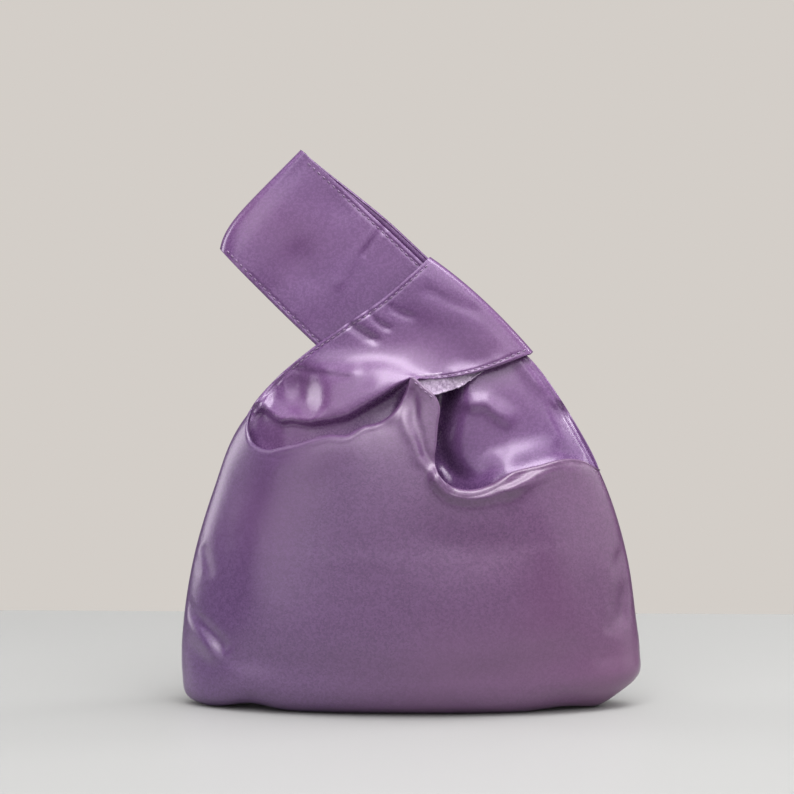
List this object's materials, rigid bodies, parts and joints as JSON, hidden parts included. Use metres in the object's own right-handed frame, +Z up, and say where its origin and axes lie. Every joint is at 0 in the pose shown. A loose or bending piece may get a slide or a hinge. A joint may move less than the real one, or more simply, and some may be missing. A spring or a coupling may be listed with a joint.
{
  "type": "knot bag",
  "caption": "Soft satin pouch that stands on its flattened base; its long wrist loop is threaded through a short loop, which wraps it and closes the gathered mouth.",
  "frame": {"origin": "middle of the flattened base, on the surface the bag stands on", "axes": "+Z up, -Y out of the front panel, +X to the right seen from the front; the wrist loop points up and to -X"},
  "size_m": [0.2223, 0.0885, 0.2673],
  "materials": {
    "panel_satin": "satin, broad soft sheen",
    "loop_satin": "satin, broad soft sheen",
    "facing_satin": "satin, paler wrong side"
  },
  "bodies": {
    "root": {"front_panel": "panel_satin", "back_panel": "panel_satin", "short_loop": "loop_satin", "long_loop": "loop_satin", "mouth_facing": "facing_satin"}
  },
  "joints": []
}
